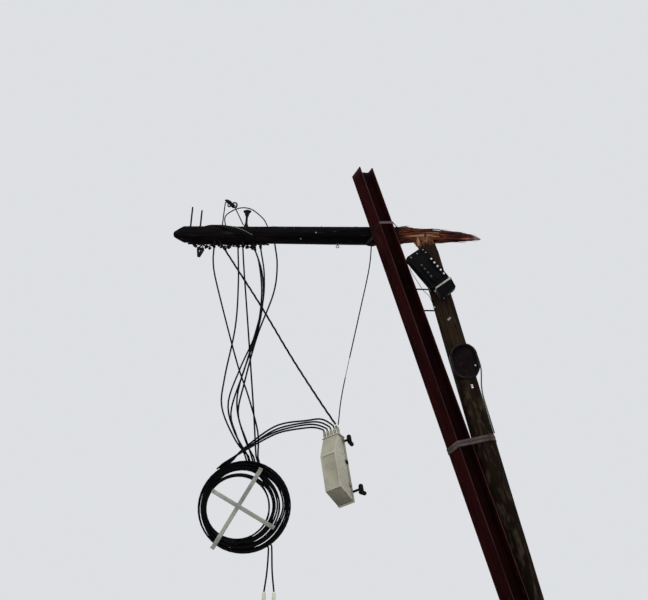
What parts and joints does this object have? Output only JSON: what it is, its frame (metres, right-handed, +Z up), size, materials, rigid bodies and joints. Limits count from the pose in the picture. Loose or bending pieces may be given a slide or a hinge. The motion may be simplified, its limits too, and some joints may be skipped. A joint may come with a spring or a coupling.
{
  "type": "broken wooden telephone pole propped by a steel beam",
  "caption": "Snapped wooden telephone pole lashed to a leaning steel beam, its fallen top, boxes and cable coil hanging from it.",
  "frame": {"origin": "on the ground, at the middle of the standing pole's foot", "axes": "+X to the right as seen in the picture, +Y away from its camera, +Z up"},
  "size_m": [3.3264, 0.9428, 5.9413],
  "materials": {
    "rusted_steel": "matt rust over old red primer",
    "creosoted_wood": "weathered, cracked and tarred",
    "tarred_wood": "near black, rough",
    "torn_wood": "raw split fibres",
    "strap_steel": "dull, weathered",
    "black_plastic": "matt, dusty",
    "port_plastic": "worn light grey",
    "port_dull": "worn dark grey",
    "grey_steel": "grey-green paint",
    "dark_bracket": "matt",
    "bright_fixings": "galvanised",
    "plate_plastic": "faded purple-brown",
    "grey_cable": "matt",
    "splice_plastic": "weathered beige-grey",
    "latch_plastic": "matt",
    "seal_rubber": "dull, aged",
    "black_fittings": "matt",
    "cable_black": "satin sheath",
    "cable_grey": "weathered light grey",
    "cap_plastic": "white",
    "rope_fibre": "twisted fibre",
    "dark_iron": "rusted dark"
  },
  "bodies": {
    "root": {"steel_beam": "rusted_steel", "pole_stub": "creosoted_wood", "stub_splinters": "torn_wood", "fallen_top": "tarred_wood", "torn_splinters": "torn_wood", "upper_lashing": "strap_steel", "lower_lashing": "strap_steel", "lashing_buckle": "strap_steel", "tie_rods": "dark_iron", "terminal_box": "black_plastic", "terminal_cover": "black_plastic", "terminal_plugs": "port_plastic", "terminal_ports": "port_dull", "terminal_tail": "black_plastic", "terminal_strap": "grey_steel", "terminal_bracket": "dark_bracket", "terminal_screws": "bright_fixings", "earth_wire": "grey_cable", "wire_bolt": "bright_fixings", "oval_plate": "plate_plastic", "oval_rim": "dark_bracket", "plate_bolts": "bright_fixings", "riser_cable": "grey_cable", "splice_back": "splice_plastic", "splice_seal": "seal_rubber", "splice_cover": "splice_plastic", "splice_glands": "splice_plastic", "splice_latches": "latch_plastic", "splice_lugs": "black_fittings", "splice_hanger": "dark_iron", "cable_coil": "cable_black", "coil_cross": "grey_steel", "coil_tails": "cable_black", "tail_caps": "cap_plastic", "suspension_cable": "cable_black", "hanger_rope": "rope_fibre", "head_pins": "dark_iron", "head_bolt": "dark_iron", "dead_end_clamp": "dark_iron", "clamp_strands": "cable_black", "slack_loop": "cable_black", "cable_clamp": "dark_iron", "cable_hooks": "dark_iron", "head_lashing": "cable_black", "crown_strand": "cable_grey", "under_cables": "cable_black", "drop_cable_1": "cable_black", "drop_cable_2": "cable_black", "drop_cable_3": "cable_black", "drop_cable_4": "cable_black", "drop_cable_5": "cable_black", "drop_cable_6": "cable_black", "drop_cable_7": "cable_black", "box_feed_1": "cable_black", "box_feed_2": "cable_black", "box_feed_3": "cable_black", "box_feed_4": "cable_black"}
  },
  "joints": []
}
